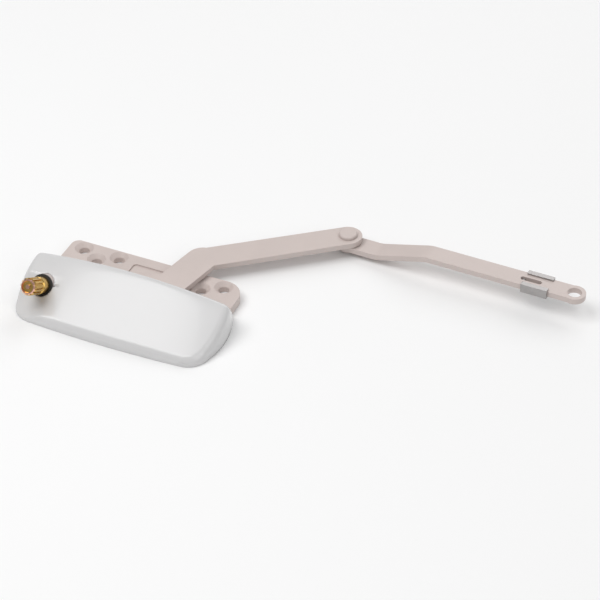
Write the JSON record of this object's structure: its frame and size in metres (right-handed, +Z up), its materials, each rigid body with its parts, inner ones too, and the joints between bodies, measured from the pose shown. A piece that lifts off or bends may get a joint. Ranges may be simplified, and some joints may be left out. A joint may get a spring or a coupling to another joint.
{
  "type": "split-arm casement window operator",
  "caption": "Casement window operator: covered worm case with splined crank stud, cranked drive arm and joggled link arm with sliding lock clip.",
  "frame": {"origin": "midway between the two end screw holes of the flange, on the mounting face", "axes": "+Z up out of the mounting face, +X along the base away from the crank, +Y out towards the sash"},
  "size_m": [0.2594, 0.1249, 0.0231],
  "materials": {
    "stone_paint": "satin stone-coloured powder coat on a zinc casting",
    "stone_paint_arm": "satin stone-coloured coat on steel strip",
    "white_plastic": "gloss white moulded plastic",
    "zinc_steel": "clear zinc plate",
    "bright_steel": "bright machined steel",
    "spring_steel": "oiled spring steel",
    "clip_steel": "grey spring steel",
    "acetal": "natural acetal",
    "bronze": "sintered bronze",
    "black_rubber": "matt black rubber",
    "gold_zinc": "yellow zinc dichromate"
  },
  "bodies": {
    "base": {"gear_case": "stone_paint", "cover": "white_plastic", "bottom_plate": "zinc_steel", "bottom_plate_screws": "zinc_steel", "pivot_pin": "bright_steel", "pivot_pin_ring": "spring_steel", "hub_washer_lower": "acetal", "hub_washer_upper": "acetal", "shaft_bush_upper": "bronze", "shaft_bush_lower": "bronze", "shaft_snap_ring": "spring_steel", "thrust_ball": "bright_steel", "dust_seal": "black_rubber"},
    "crank": {"crank_shaft": "gold_zinc"},
    "arm": {"drive_arm": "stone_paint_arm", "gear_sector": "bright_steel", "sector_rivets": "bright_steel", "hub_bush": "bronze", "link_rivet": "stone_paint_arm", "link_washer": "acetal", "link_spring_washer": "spring_steel"},
    "link": {"link_arm": "stone_paint_arm", "link_bush": "bronze"},
    "clip": {"lock_clip": "clip_steel"}
  },
  "joints": [
    {"name": "arm_swing", "type": "hinge", "parent": "base", "child": "arm", "pos_m": [-0.02, -0.033, 0], "axis": [0, 0, 1], "range_deg": [-24, 50]},
    {"name": "crank_spin", "type": "hinge", "parent": "base", "child": "crank", "pos_m": [-0.03966, -0.033, 0.0056], "axis": [0, -0.8387, 0.5446], "range_deg": [-1405, 680]},
    {"name": "link_swing", "type": "hinge", "parent": "arm", "child": "link", "pos_m": [0.0804, 0.0586, 0], "axis": [0, 0, 1], "range_deg": [-80, 100]},
    {"name": "clip_slide", "type": "slide", "parent": "link", "child": "clip", "axis": [0.9998, -0.0175, 0], "range_m": [0, 0.007]}
  ],
  "couplings": [
    {"joint": "crank_spin", "follows": "arm_swing", "ratio": -28}
  ]
}
